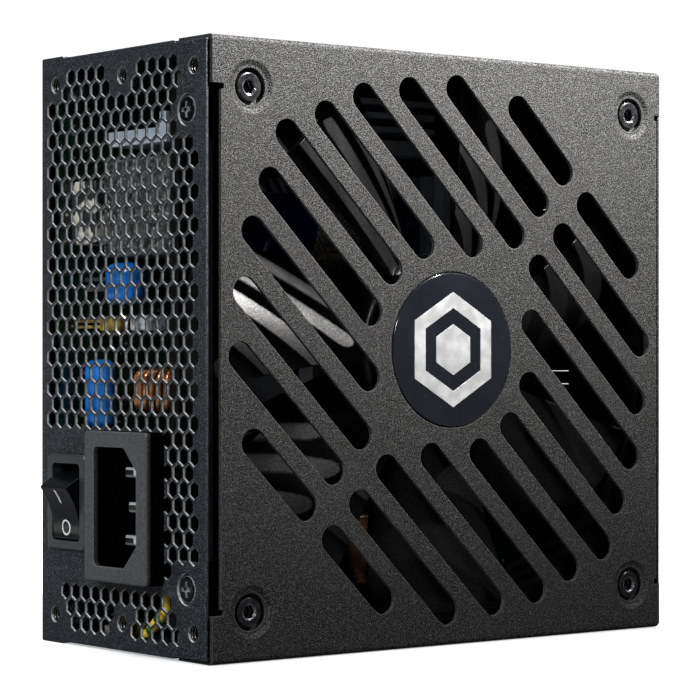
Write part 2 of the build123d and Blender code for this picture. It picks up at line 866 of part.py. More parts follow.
# ---------------------------------------------------------------- capacitors


def can(low_end, axis, radius, tall):
    """An aluminium can with a rolled groove and a domed end, standing on low_end."""
    with BuildPart() as piece:
        with BuildSketch(Plane(origin=low_end, z_dir=axis)):
            Circle(radius)
        extrude(amount=tall)
        fillet(piece.edges().filter_by(GeomType.CIRCLE), radius * 0.12)
        groove = Plane(origin=low_end, z_dir=axis).offset(tall * 0.1)
        with BuildSketch(groove):
            Circle(radius + 0.5)
            Circle(radius * 0.93, mode=Mode.SUBTRACT)
        extrude(amount=tall * 0.03, mode=Mode.SUBTRACT)
    return piece


bulk_axis = (14.3, 91.0)
bulk_radius = 12.0
bulk_capacitor = can((20.0, *bulk_axis), (-1, 0, 0), bulk_radius, 42.0)
write(bulk_capacitor, "bulk_capacitor")

# a parts label wrapped round the capacitor's fan side
label_x = (-9.0, 4.0)
with BuildPart() as parts_label:
    with BuildSketch(at_x(label_x[0])):
        with Locations(bulk_axis):
            Circle(bulk_radius + 0.12)
            Circle(bulk_radius + 0.02, mode=Mode.SUBTRACT)
        with Locations((bulk_axis[0] - bulk_radius, bulk_axis[1])):
            Rectangle(16.0, 3 * bulk_radius, mode=Mode.INTERSECT)
    extrude(amount=label_x[1] - label_x[0])

write(parts_label, "parts_label")

with BuildPart() as output_capacitors:
    for number in range(6):
        add(can((38.8, board_front, 20.0 + 15.5 * number), (0, -1, 0), 5.0, 17.0).part)

write(output_capacitors, "output_capacitors")

# two dipped film capacitors on their wire legs: x, y, z limits and the rounding of the dip
film_capacitors = {
    "film_capacitor_1": ((-57.0, -52.5), (15.5, 23.4), (45.6, 60.4), 2.0),
    "film_capacitor_2": ((-56.5, -50.5), (6.8, 16.6), (72.0, 81.0), 2.6),
}
leg = 0.8
for name, (x, y, z, dip) in film_capacitors.items():
    with BuildPart() as film_capacitor:
        add(block(x, y, z, dip).part)
        with BuildSketch(at_x(sum(x) / 2 - leg / 2)):
            for leg_z in (z[0] + dip + leg, z[1] - dip - leg):
                with Locations(((y[0] + dip + board_front) / 2, leg_z)):
                    Rectangle(board_front - y[0] - dip, leg)
        extrude(amount=leg)
    write(film_capacitor, name)

# two small box capacitors side by side; the far one's legs pass behind the near one
bypass_z = (66.4, 69.6)
bypass_boxes = [((-57.0, -54.2), (8.9, 16.5), -56.0), ((-57.0, -53.0), (-3.2, 4.7), -53.8)]
with BuildPart() as line_bypass_capacitors:
    for x, y, leg_x in bypass_boxes:
        add(block(x, y, bypass_z, 0.5).part)
        with BuildSketch(at_x(leg_x)):
            for leg_z in (bypass_z[0] + 1.0, bypass_z[1] - 1.0):
                with Locations(((y[1] - 1.0 + board_front) / 2, leg_z)):
                    Rectangle(board_front - y[1] + 1.0, 0.6)
        extrude(amount=0.6)

write(line_bypass_capacitors, "line_bypass_capacitors")

# earth lead from the filter board to a crimped lug on the tray's floor, just behind the vent
earth_radius = 1.25
earth_x = -58.6
earth_points = [
    (filter_board_x, -11.7, 14.6),
    (earth_x, -11.7, 14.6),
    (earth_x, -11.7, 9.6),
    (earth_x, -5.5, 4.3),
    (earth_x, 6.0, 3.2),
]
lug_floor = tray_sheet + set_in
with BuildPart() as earth_lead:
    with BuildLine() as earth_route:
        FilletPolyline(*earth_points, radius=[2.5, 2.0, 3.0])
    with BuildSketch(Plane(origin=earth_points[0], z_dir=(-1, 0, 0))):
        Circle(earth_radius)
    sweep()
    add(block((earth_x - 1.7, earth_x + 1.7), (4.6, 9.0), (lug_floor, 4.8)).part)
    add(block((earth_x - 1.7, earth_x + 1.7), (9.0, 15.0), (lug_floor, lug_floor + 0.8)).part)

write(earth_lead, "earth_lead")

# ---------------------------------------------------------------- other board parts

relay = block((-57.5, -47.5), (17.2, board_front), (85.0, 98.6), 0.5)
write(relay, "relay")

surge_resistor = can((-28.6, board_front, 92.0), (0, -1, 0), 5.5, 10.0)
write(surge_resistor, "surge_resistor")

fuse = can((-37.0, 23.5, 80.0), (0, 0, 1), 2.6, 20.0)
write(fuse, "fuse")

resonant_inductor = block((-32.0, -13.5), (5.0, board_front), (46.0, 70.0), 1.5)
write(resonant_inductor, "resonant_inductor")

standby_transformer = block((4.0, 20.0), (9.0, board_front), (9.5, 25.5), 1.0)
write(standby_transformer, "standby_transformer")

bridge_rectifier = block((-40.5, -24.5), (3.0, 21.5), (101.4, 105.6), 0.4)
write(bridge_rectifier, "bridge_rectifier")

control_board = block((-12.0, 20.0), (4.0, board_front), (75.6, 77.2))
write(control_board, "control_board")

# vertical filter board above the inlet, with a dark boxed choke on its outer side
upper_board_x = -44.0
upper_board_span = (upper_board_x, upper_board_x + board_sheet)
upper_filter_board = block(upper_board_span, (-12.0, board_front), (76.0, 104.5))
write(upper_filter_board, "upper_filter_board")

boxed_choke = block((-56.5, upper_board_x), (-10.5, 15.9), (82.0, 102.6), 1.0)
write(boxed_choke, "boxed_choke")

# heatsinks: a bar with a comb of flat fins above it for the input side, a finned plate for the
# output side
heatsink_x = (-54.5, 18.0)
bar_y = (-5.2, 16.5)
bar_z = (105.6, 108.7)
comb_x = -32.0
fin_sheet = 1.2
fin_pitch = 3.0
comb_top = bar_z[1] + 3 * fin_pitch
with BuildPart() as input_heatsink:
    with BuildSketch(at_x(heatsink_x[0])):
        with Locations((sum(bar_y) / 2, sum(bar_z) / 2)):
            Rectangle(bar_y[1] - bar_y[0], bar_z[1] - bar_z[0])
    extrude(amount=heatsink_x[1] - heatsink_x[0])
    # the bar's fan-side corner is turned up beside the vent
    with BuildSketch(at_x(heatsink_x[0])):
        with Locations((bar_y[0] + 1.2, bar_z[1] + 1.6)):
            Rectangle(2.4, 3.2)
    extrude(amount=6.0)
    with BuildSketch(at_x(comb_x)):
        with Locations((bar_y[1] - 1.2, (bar_z[0] + comb_top) / 2)):
            Rectangle(2.4, comb_top - bar_z[0])
        for fin in range(1, 4):
            with Locations((sum(bar_y) / 2, bar_z[1] + fin * fin_pitch - fin_sheet / 2)):
                Rectangle(bar_y[1] - bar_y[0], fin_sheet)
    extrude(amount=heatsink_x[1] - comb_x)
    for x in (-28.0, 12.0):
        with Locations((x, (bar_y[1] + board_front) / 2 - 0.5, sum(bar_z) / 2)):
            Box(4.0, board_front - bar_y[1] + 1.0, 2.4)

write(input_heatsink, "input_heatsink")

with BuildPart() as output_heatsink:
    with BuildSketch(Plane.XY.offset(30.0)):
        with Locations((25.0, 12.0)):
            Rectangle(2.0, 26.0)
        for fin in range(3):
            with Locations((24.5, 1.0 + 5.0 * fin)):
                Rectangle(4.0, 1.2)
    extrude(amount=72.0)
    for z in (34.0, 98.0):
        with Locations((25.0, 25.8, z)):
            Box(2.0, 1.7, 4.0)

write(output_heatsink, "output_heatsink")

with BuildPart() as power_transistors:
    for number in range(4):
        z = 40.0 + 15.0 * number
        with BuildSketch(at_x(26.5)):
            with Locations((15.5, z)):
                Rectangle(15.0, 10.0)
        extrude(amount=4.4)

write(power_transistors, "power_transistors")

# ---------------------------------------------------------------- output sockets

socket_board = block((socket_board_x, socket_board_x + board_sheet), (-8.0, 26.4), (6.5, 118.5))
write(socket_board, "socket_board")

socket_root = socket_board_x + board_sheet
socket_floor = socket_root + 3.5


for name, columns, y, z in sockets:
    with BuildPart() as socket:
        with BuildSketch(at_x(socket_root)):
            with Locations((y, z)):
                RectangleRounded(socket_short, socket_height(columns), 0.5)
        extrude(amount=x_front - socket_root)
        with BuildSketch(at_x(socket_floor)):
            with Locations((y, z)):
                with GridLocations(cell, cell, 2, columns):
                    RectangleRounded(3.5, 3.5, 0.4)
        extrude(amount=x_front - socket_floor, mode=Mode.SUBTRACT)
        with BuildSketch(at_x(socket_root)):
            with Locations((y, z)):
                with GridLocations(cell, cell, 2, columns):
                    Rectangle(1.12, 1.12)
        extrude(amount=4.0, mode=Mode.SUBTRACT)
    write(socket, name)

with BuildPart() as socket_terminals:
    with BuildSketch(at_x(socket_root)):
        for name, columns, y, z in sockets:
            with Locations((y, z)):
                with GridLocations(cell, cell, 2, columns):
                    Rectangle(1.07, 1.07)
    extrude(amount=x_front - 3.0 - socket_root)

write(socket_terminals, "socket_terminals")
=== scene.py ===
"""The looks of a compact computer power supply unit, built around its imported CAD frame. Metres."""

import json
import math

import bmesh
import bpy
import numpy as np
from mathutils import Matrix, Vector


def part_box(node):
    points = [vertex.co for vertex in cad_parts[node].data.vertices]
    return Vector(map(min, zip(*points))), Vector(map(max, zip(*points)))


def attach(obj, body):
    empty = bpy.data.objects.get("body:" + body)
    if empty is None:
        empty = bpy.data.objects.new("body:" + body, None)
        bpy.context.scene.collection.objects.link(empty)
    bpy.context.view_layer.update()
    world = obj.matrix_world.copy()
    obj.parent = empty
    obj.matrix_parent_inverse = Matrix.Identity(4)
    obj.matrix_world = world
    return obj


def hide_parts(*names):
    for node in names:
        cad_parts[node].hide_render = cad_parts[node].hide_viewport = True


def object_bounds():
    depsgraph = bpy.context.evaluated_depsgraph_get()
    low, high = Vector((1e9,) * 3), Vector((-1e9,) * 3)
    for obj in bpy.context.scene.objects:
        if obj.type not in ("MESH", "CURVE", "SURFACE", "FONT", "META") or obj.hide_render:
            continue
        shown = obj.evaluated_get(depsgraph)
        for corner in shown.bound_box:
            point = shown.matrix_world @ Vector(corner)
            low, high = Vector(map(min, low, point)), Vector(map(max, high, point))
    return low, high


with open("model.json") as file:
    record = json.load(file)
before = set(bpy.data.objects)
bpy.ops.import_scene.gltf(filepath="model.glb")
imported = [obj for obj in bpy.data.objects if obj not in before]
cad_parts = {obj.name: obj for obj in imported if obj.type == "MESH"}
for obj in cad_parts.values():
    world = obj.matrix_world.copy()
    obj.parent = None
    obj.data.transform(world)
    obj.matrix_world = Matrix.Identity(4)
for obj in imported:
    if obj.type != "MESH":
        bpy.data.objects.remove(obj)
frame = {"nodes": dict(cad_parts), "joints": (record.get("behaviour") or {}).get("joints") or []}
cad_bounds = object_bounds()
MM = 0.001


# ------------------------------------------------------------------ shader building blocks


class Shader:
    """A node material: each method adds what it needs and gives back the socket to feed on."""

    def __init__(self, name):
        self.material = bpy.data.materials.new(name)
        self.material.use_nodes = True
        self.tree = self.material.node_tree
        self.tree.nodes.clear()
        self.surface = self.tree.nodes.new("ShaderNodeBsdfPrincipled")
        output = self.tree.nodes.new("ShaderNodeOutputMaterial")
        self.tree.links.new(self.surface.outputs[0], output.inputs["Surface"])
        place = self.tree.nodes.new("ShaderNodeTexCoord")
        self.place = place.outputs["Object"]

    def feed(self, socket, value):
        """Links a socket, or sets a plain number, colour or vector."""
        if isinstance(value, bpy.types.NodeSocket):
            self.tree.links.new(value, socket)
        elif value is not None:
            if hasattr(socket.default_value, "__len__") and len(socket.default_value) == 4:
                value = (*value[:3], 1.0)
            socket.default_value = value

    def node(self, kind, output=0, settings=None, **inputs):
        """Adds a node; inputs are fed by name, or by number as i0, i1."""
        made = self.tree.nodes.new("ShaderNode" + kind)
        for key, value in (settings or {}).items():
            setattr(made, key, value)
        for key, value in inputs.items():
            by_number = key[0] == "i" and key[1:].isdigit()
            self.feed(made.inputs[int(key[1:]) if by_number else key], value)
        return made.outputs[output]

    def set(self, **inputs):
        """Sets the shader's own sockets; underscores stand for spaces."""
        for key, value in inputs.items():
            self.feed(self.surface.inputs[key.replace("_", " ")], value)
        return self.material

    def stretched(self, scale):
        """The place, with each axis scaled: a small number draws a pattern out along it."""
        return self.node("Mapping", Vector=self.place, Scale=scale)

    def noise(self, size, detail=2.0, roughness=0.5, stretch=None):
        """Noise whose features are about size metres across."""
        place = self.stretched(stretch) if stretch else self.place
        return self.node(
            "TexNoise", Vector=place, Scale=1 / size, Detail=detail, Roughness=roughness
        )

    def cells(self, size):
        """Distance to the nearest of many scattered points, about size metres apart."""
        return self.node("TexVoronoi", Vector=self.place, Scale=1 / size)

    def ramp(self, value, low, high, first=0.0, last=1.0):
        """Maps value smoothly from low..high to first..last."""
        made = self.tree.nodes.new("ShaderNodeMapRange")
        made.interpolation_type = "SMOOTHSTEP"
        self.feed(made.inputs["Value"], value)
        limits = {"From Min": low, "From Max": high, "To Min": first, "To Max": last}
        for key, number in limits.items():
            self.feed(made.inputs[key], number)
        return made.outputs["Result"]

    def math(self, operation, a, b=None):
        return self.node("Math", 0, {"operation": operation}, i0=a, i1=b)

    def mix(self, share, a, b):
        """Colour a, turning to colour b where share is 1."""
        made = self.tree.nodes.new("ShaderNodeMix")
        made.data_type = "RGBA"
        self.feed(made.inputs["Factor"], share)
        self.feed(made.inputs[6], a)
        self.feed(made.inputs[7], b)
        return made.outputs[2]

    def bump(self, height, depth, strength, under=None):
        """A normal from a height of 0..1 that stands for depth metres."""
        return self.node("Bump", 0, Height=height, Strength=strength, Distance=depth, Normal=under)

    def soft_edges(self, radius):
        """The normal with every edge rounded by radius, as folded or moulded edges are."""
        return self.node("Bevel", 0, {"samples": 4}, Radius=radius)

    def edge_mask(self, radius):
        """1 along sharp edges and 0 on flat faces."""
        rounded = self.soft_edges(radius)
        flat = self.node("NewGeometry", 1)
        facing = self.node("VectorMath", 1, {"operation": "DOT_PRODUCT"}, i0=rounded, i1=flat)
        return self.ramp(facing, 0.995, 0.86)

    def axis(self, which):
        """The coordinate along X, Y or Z."""
        return self.node("SeparateXYZ", "XYZ".index(which), i0=self.place)

    def facing_x(self):
        """The X part of the true normal."""
        return self.node("SeparateXYZ", 0, i0=self.node("NewGeometry", 1))


def shade(colour, by):
    """The colour made paler or darker, and never past white."""
    return tuple(min(1.0, part * by) for part in colour)


# ------------------------------------------------------------------ materials


def hole_walls(s):
    """1 on the punched walls of the holes through the rear panel, which get the colour of cut steel,
    partly as the sheet's own cut edge and partly as a painted highlight.
    """
    sheet_inside = -61.9 * MM
    panel_half_width = 30.6 * MM
    panel_half_height = 61.4 * MM
    panel_middle = 62.5 * MM
    fade = 0.3 * MM
    across = s.ramp(s.math("ABSOLUTE", s.facing_x()), 0.6, 0.3)
    in_sheet = s.ramp(s.axis("X"), sheet_inside, sheet_inside - 0.1 * MM)
    from_middle_y = s.math("ABSOLUTE", s.axis("Y"))
    inside_y = s.ramp(from_middle_y, panel_half_width, panel_half_width - fade)
    from_middle_z = s.math("ABSOLUTE", s.math("SUBTRACT", s.axis("Z"), panel_middle))
    inside_z = s.ramp(from_middle_z, panel_half_height, panel_half_height - fade)
    inside = s.math("MULTIPLY", inside_y, inside_z)
    return s.math("MULTIPLY", s.math("MULTIPLY", across, in_sheet), inside)


def powder_coat(name, colour, roughness, grain, depth, fleck, edge_wear_highlight_gain, punched=False):
    """Textured powder coat: small rounded grains, flecks that are fleck times paler than the colour,
    and edges that are paler by the edge gain, partly as thin paint there and partly as a painted
    highlight."""
    s = Shader(name)
    coat_rounding = 0.28 * MM
    wall_highlight_steel = (0.85, 0.84, 0.81)
    fine = s.noise(grain, 1.0, 0.5)
    coarse = s.noise(grain * 2.2, 1.0)
    drift = s.noise(22 * MM, 3.0)
    flecks = s.ramp(s.noise(grain * 1.3, 0.0), 0.60, 0.68)
    grains = s.math("ADD", s.ramp(fine, 0.34, 0.68), s.math("MULTIPLY", coarse, 0.5))
    tone = s.mix(s.ramp(fine, 0.40, 0.60), shade(colour, 0.05), shade(colour, 1.95))
    tone = s.mix(s.ramp(coarse, 0.35, 0.65, 0.0, 0.5), tone, shade(colour, 0.45))
    tone = s.mix(s.ramp(drift, 0.3, 0.75, 0.0, 0.35), tone, shade(colour, 1.2))
    tone = s.mix(s.math("MULTIPLY", flecks, 0.7), tone, shade(colour, fleck))
    patchy = s.ramp(s.noise(1.3 * MM), 0.3, 0.7, 0.45, 1.0)
    # paler edges: partly thin paint, partly a painted highlight
    worn_and_highlit_edges = s.math("MULTIPLY", s.edge_mask(coat_rounding), patchy)
    tone = s.mix(worn_and_highlit_edges, tone, shade(colour, edge_wear_highlight_gain))
    # painted highlight on the punched hole walls, in the colour of cut steel
    if punched:
        wall_highlight_share = s.ramp(s.noise(0.9 * MM, 2.0), 0.3, 0.7, 0.55, 1.0)
        tone = s.mix(s.math("MULTIPLY", hole_walls(s), wall_highlight_share), tone, wall_highlight_steel)
    rough = s.ramp(fine, 0.3, 0.7, roughness - 0.06, roughness + 0.10)
    shine = s.ramp(fine, 0.40, 0.60, 0.04, 0.52)
    normal = s.bump(grains, depth, 0.8, s.soft_edges(coat_rounding))
    return s.set(Base_Color=tone, Roughness=rough, Normal=normal, Specular_IOR_Level=shine)


def moulded(
    name, colour, roughness, grain=0.28 * MM, depth=0.02 * MM, edge=0.15 * MM, shine=0.5
):
    """Moulded plastic: fine spark-eroded texture, faint flow marks and softened edges."""
    s = Shader(name)
    fine = s.noise(grain, 3.0, 0.6)
    flow = s.noise(9 * MM, 3.0, stretch=(1.0, 1.0, 0.25))
    tone = s.mix(s.ramp(fine, 0.35, 0.7), shade(colour, 0.85), shade(colour, 1.25))
    tone = s.mix(s.ramp(flow, 0.35, 0.8, 0.0, 0.4), tone, shade(colour, 1.35))
    rough = s.ramp(flow, 0.2, 0.8, roughness - 0.06, roughness + 0.06)
    return s.set(
        Base_Color=tone, Roughness=rough, Normal=s.bump(fine, depth, 0.5, s.soft_edges(edge)),
        Specular_IOR_Level=s.ramp(fine, 0.3, 0.7, shine * 0.7, shine * 1.3),
    )


def lacquer(name, colour, roughness, leg_plane=None):
    """Dipped or printed gloss: a wavy surface with slow shifts of depth and a few specks, and
    dull tinned legs beyond the leg plane along Y if there is one."""
    s = Shader(name)
    tinned_wire = (0.06, 0.06, 0.06)
    waves = s.noise(1.6 * MM, 2.0)
    depth_of_dip = s.noise(6 * MM, 2.0)
    specks = s.cells(0.9 * MM)
    tone = s.mix(s.ramp(depth_of_dip, 0.3, 0.75), shade(colour, 0.7), shade(colour, 1.3))
    tone = s.mix(s.ramp(specks, 0.09, 0.05, 0.0, 0.5), tone, shade(colour, 2.2))
    if leg_plane is not None:
        tinned = s.ramp(s.axis("Y"), leg_plane, leg_plane + 0.1 * MM)
        tone = s.mix(tinned, tone, tinned_wire)
    rough = s.ramp(waves, 0.2, 0.8, roughness, roughness + 0.12)
    return s.set(Base_Color=tone, Roughness=rough, Normal=s.bump(waves, 0.05 * MM, 0.35))


def box_pair(name, near_colour, far_colour, split, leg_plane):
    """Two cases in one piece: the near colour below the split along Y, the far one above it, and
    tinned legs beyond the leg plane along X."""
    s = Shader(name)
    shadow_brown = (0.05, 0.04, 0.02)
    tinned_wire = (0.5, 0.5, 0.5)
    waves = s.noise(1.6 * MM, 2.0)
    tone = s.mix(s.ramp(s.axis("Y"), split, split + 0.5 * MM), near_colour, far_colour)
    tone = s.mix(s.ramp(waves, 0.40, 0.62, 0.0, 0.8), tone, shadow_brown)
    tone = s.mix(s.ramp(s.axis("X"), leg_plane, leg_plane + 0.1 * MM), tone, tinned_wire)
    rough = s.ramp(waves, 0.2, 0.8, 0.25, 0.4)
    return s.set(Base_Color=tone, Roughness=rough, Normal=s.bump(waves, 0.05 * MM, 0.35))


def cast_bar(name, colour, roughness):
    """Pale extruded aluminium with a milky oxide bloom and drawing lines along X."""
    s = Shader(name)
    lines = s.noise(0.12 * MM, 2.0, stretch=(0.05, 1.0, 1.0))
    bloom = s.noise(3 * MM, 3.0)
    tone = s.mix(s.ramp(bloom, 0.3, 0.75), shade(colour, 0.85), shade(colour, 1.1))
    tone = s.mix(s.ramp(lines, 0.45, 0.8, 0.0, 0.3), tone, shade(colour, 0.6))
    rough = s.ramp(bloom, 0.3, 0.7, roughness - 0.06, roughness + 0.08)
    normal = s.bump(lines, 0.01 * MM, 0.4, s.soft_edges(0.12 * MM))
    return s.set(Base_Color=tone, Roughness=rough, Normal=normal, Metallic=0.45)


def metal(name, colour, roughness, stretch=(1.0, 1.0, 1.0)):
    """Bare or plated metal with machining lines along the stretched axis and dulled patches."""
    s = Shader(name)
    lines = s.noise(0.06 * MM, 2.0, stretch=stretch)
    patches = s.noise(4 * MM, 4.0, 0.6)
    tone = s.mix(s.ramp(patches, 0.3, 0.75), shade(colour, 0.72), shade(colour, 1.08))
    tone = s.mix(s.ramp(lines, 0.45, 0.8, 0.0, 0.35), tone, shade(colour, 1.2))
    rough = s.ramp(s.math("ADD", lines, patches), 0.7, 1.3, roughness - 0.08, roughness + 0.12)
    normal = s.bump(lines, 0.004 * MM, 0.35, s.soft_edges(0.12 * MM))
    return s.set(Base_Color=tone, Roughness=rough, Normal=normal, Metallic=1.0)


def blackened(name, colour, worn_and_highlight_colour, edge=0.3 * MM, cut_wall_highlight=False):
    """Blackened steel made bright along its edges, partly as wear and partly as a painted highlight,
    and, with the flag for it, brightened as a painted highlight on the walls of a cut along X."""
    s = Shader(name)
    patches = s.noise(1.4 * MM, 3.0)
    lines = s.noise(0.08 * MM, 2.0, stretch=(1.0, 1.0, 0.2))
    tone = s.mix(s.ramp(patches, 0.3, 0.75), shade(colour, 0.6), shade(colour, 1.5))
    # edges: partly wear, partly a painted highlight
    rubbed_and_highlit = s.math("MULTIPLY", s.edge_mask(edge), s.ramp(patches, 0.3, 0.6, 0.45, 1.0))
    tone = s.mix(rubbed_and_highlit, tone, worn_and_highlight_colour)
    if cut_wall_highlight:
        # painted highlight on the walls of the cut
        tone = s.mix(s.ramp(s.math("ABSOLUTE", s.facing_x()), 0.6, 0.3), tone, worn_and_highlight_colour)
    rough = s.ramp(patches, 0.3, 0.75, 0.20, 0.34)
    return s.set(
        Base_Color=tone, Roughness=rough, Metallic=0.7, Specular_IOR_Level=0.25,
        Normal=s.bump(lines, 0.006 * MM, 0.4, s.soft_edges(edge)),
    )


def inlet_mould(name, colour, roughness, mouth):
    """Textured black plastic, made near black and dull by painted shade beyond the mouth's plane
    along X.
    """
    s = Shader(name)
    cavity_painted_shade = (0.0008, 0.0008, 0.0008)
    fine = s.noise(0.24 * MM, 3.0, 0.6)
    tone = s.mix(s.ramp(fine, 0.36, 0.64), shade(colour, 0.55), shade(colour, 1.6))
    edges = s.math("MULTIPLY", s.edge_mask(0.35 * MM), s.ramp(fine, 0.3, 0.6, 0.5, 1.0))
    tone = s.mix(edges, tone, shade(colour, 3.5))
    # painted shade inside the mouth
    inward_shade = s.ramp(s.axis("X"), mouth, mouth + 0.8 * MM)
    tone = s.mix(inward_shade, tone, cavity_painted_shade)
    rough = s.ramp(fine, 0.3, 0.7, roughness - 0.05, roughness + 0.1)
    outside_shade = s.math("SUBTRACT", 1.0, inward_shade)
    shine = s.math("MULTIPLY", s.ramp(fine, 0.38, 0.62, 0.3, 0.6), outside_shade)
    normal = s.bump(fine, 0.045 * MM, 0.8, s.soft_edges(0.3 * MM))
    return s.set(Base_Color=tone, Roughness=rough, Normal=normal, Specular_IOR_Level=shine)


def blade_pin(name):
    """Plated contact blade: a painted highlight on the bevels of its tip, and painted shade making
    it dark elsewhere.
    """
    s = Shader(name)
    bevel_facing = 0.7  # how far a 45 degree bevel's normal points out along -X
    off_bevel = s.math("ABSOLUTE", s.math("ADD", s.facing_x(), bevel_facing))
    tip = s.ramp(off_bevel, 0.2, 0.1)
    lines = s.noise(0.08 * MM, 2.0, stretch=(0.2, 1.0, 1.0))
    # painted shade: dark all over, as deep in the inlet
    tone = s.mix(s.ramp(lines, 0.35, 0.7), (0.010, 0.010, 0.010), (0.05, 0.05, 0.048))
    # painted highlight on the bevels of the tip
    tone = s.mix(tip, tone, (0.85, 0.84, 0.80))
    rough = s.ramp(lines, 0.3, 0.7, 0.24, 0.38)
    return s.set(
        Base_Color=tone, Roughness=rough, Metallic=0.6, Normal=s.bump(lines, 0.004 * MM, 0.3)
    )


def glued_case(name, case, cream_colour):
    """A cream relay body, dark all over with painted shade except in ragged raised patches."""
    s = Shader(name)
    fine = s.noise(0.5 * MM, 2.0)
    patches = s.ramp(s.noise(4.2 * MM, 2.0, 0.6), 0.50, 0.56)
    # dark all over as painted shade; the relay's cream shows only in the patches
    tone = s.mix(s.ramp(fine, 0.35, 0.65), shade(case, 0.6), shade(case, 1.5))
    tone = s.mix(patches, tone, s.mix(s.ramp(fine, 0.3, 0.7), shade(cream_colour, 0.75), cream_colour))
    rough = s.ramp(fine, 0.3, 0.7, 0.3, 0.5)
    height = s.math("ADD", patches, s.math("MULTIPLY", fine, 0.2))
    return s.set(Base_Color=tone, Roughness=rough, Normal=s.bump(height, 0.25 * MM, 0.6))


def rough_casting(name):
    """A dark resin casting with a broken, glinting skin."""
    s = Shader(name)
    lumps = s.noise(1.5 * MM, 3.0, 0.65)
    glints = s.ramp(s.noise(0.9 * MM, 2.0), 0.56, 0.66)
    tone = s.mix(s.ramp(lumps, 0.38, 0.62), (0.006, 0.006, 0.006), (0.075, 0.075, 0.072))
    tone = s.mix(glints, tone, (0.30, 0.30, 0.29))
    rough = s.ramp(lumps, 0.3, 0.7, 0.34, 0.55)
    return s.set(Base_Color=tone, Roughness=rough, Normal=s.bump(lumps, 0.5 * MM, 0.9))


def earth_sleeve(name, lug_start):
    """Yellow insulation with a green stripe, and the tinned crimp beyond the start of the lug."""
    s = Shader(name)
    fine = s.noise(0.4 * MM, 2.0)
    stripe = s.ramp(s.noise(3 * MM, 0.0), 0.60, 0.63)
    tone = s.mix(s.ramp(fine, 0.35, 0.7), (0.70, 0.48, 0.02), (0.95, 0.72, 0.05))
    tone = s.mix(stripe, tone, (0.03, 0.22, 0.04))
    crimp = s.ramp(s.axis("Y"), lug_start, lug_start + 0.3 * MM)
    tone = s.mix(crimp, tone, (0.55, 0.54, 0.52))
    rough = s.ramp(fine, 0.3, 0.7, 0.26, 0.38)
    return s.set(
        Base_Color=tone, Roughness=rough, Metallic=s.math("MULTIPLY", crimp, 0.9),
        Normal=s.bump(fine, 0.02 * MM, 0.4),
    )


def wire_enamel(name, deep, bright):
    """Enamelled copper: warm metal whose varnish is deeper and redder in places."""
    s = Shader(name)
    runs = s.noise(2.4 * MM, 3.0)
    fine = s.noise(0.2 * MM, 2.0)
    tone = s.mix(s.ramp(runs, 0.3, 0.72), deep, bright)
    tone = s.mix(s.ramp(fine, 0.5, 0.9, 0.0, 0.4), tone, shade(deep, 0.6))
    rough = s.ramp(runs, 0.2, 0.8, 0.22, 0.36)
    return s.set(
        Base_Color=tone, Roughness=rough, Metallic=0.85, Normal=s.bump(fine, 0.01 * MM, 0.3),
        Coat_Weight=0.4, Coat_Roughness=0.12,
    )


def ferrite_material(name):
    """Sintered ferrite: dark grey with pores and paler ground faces."""
    s = Shader(name)
    pores = s.cells(0.7 * MM)
    grind = s.noise(0.15 * MM, 2.0, stretch=(1.0, 1.0, 0.08))
    tone = s.mix(s.ramp(pores, 0.1, 0.5), (0.018, 0.018, 0.02), (0.055, 0.056, 0.06))
    tone = s.mix(s.ramp(grind, 0.45, 0.8, 0.0, 0.5), tone, (0.11, 0.11, 0.115))
    rough = s.ramp(grind, 0.3, 0.7, 0.38, 0.6)
    return s.set(Base_Color=tone, Roughness=rough, Normal=s.bump(pores, 0.02 * MM, 0.4))


def tape(name, colour):
    """Polyester tape in overlapping turns, with wrinkles and glossy highlights."""
    s = Shader(name)
    turns = s.node(
        "TexWave", 1, {"bands_direction": "Z"}, Vector=s.place, Scale=260.0, Distortion=0.6
    )
    wrinkles = s.noise(1.8 * MM, 3.0, stretch=(1.0, 1.0, 0.3))
    tone = s.mix(s.ramp(turns, 0.1, 0.5), shade(colour, 0.62), colour)
    tone = s.mix(s.ramp(wrinkles, 0.4, 0.8, 0.0, 0.5), tone, shade(colour, 1.3))
    height = s.math("ADD", turns, s.math("MULTIPLY", wrinkles, 0.7))
    rough = s.ramp(wrinkles, 0.3, 0.7, 0.18, 0.34)
    return s.set(Base_Color=tone, Roughness=rough, Normal=s.bump(height, 0.06 * MM, 0.5))


def solder_mask(name, colour):
    """Circuit board: gloss green mask over fine copper tracks, with tinned pads."""
    s = Shader(name)
    tracks = s.node(
        "TexBrick", 1, {"offset": 0.37, "squash": 0.6, "squash_frequency": 3},
        Vector=s.place, Scale=190.0,
        **{"Mortar Size": 0.055, "Brick Width": 1.7, "Row Height": 0.42},
    )
    copper = s.ramp(s.noise(5 * MM, 2.0), 0.42, 0.5)
    pads = s.ramp(s.cells(2.6 * MM), 0.16, 0.12)
    weave = s.noise(0.25 * MM, 2.0)
    tone = s.mix(s.math("MULTIPLY", tracks, copper), colour, shade(colour, 2.0))
    tone = s.mix(s.ramp(weave, 0.4, 0.8, 0.0, 0.3), tone, shade(colour, 0.6))
    tone = s.mix(pads, tone, (0.62, 0.61, 0.57))
    height = s.math("ADD", s.math("MULTIPLY", tracks, copper), pads)
    rough = s.ramp(weave, 0.3, 0.7, 0.22, 0.36)
    return s.set(
        Base_Color=tone, Roughness=rough, Metallic=s.math("MULTIPLY", pads, 0.8),
        Normal=s.bump(height, 0.04 * MM, 0.5),
    )


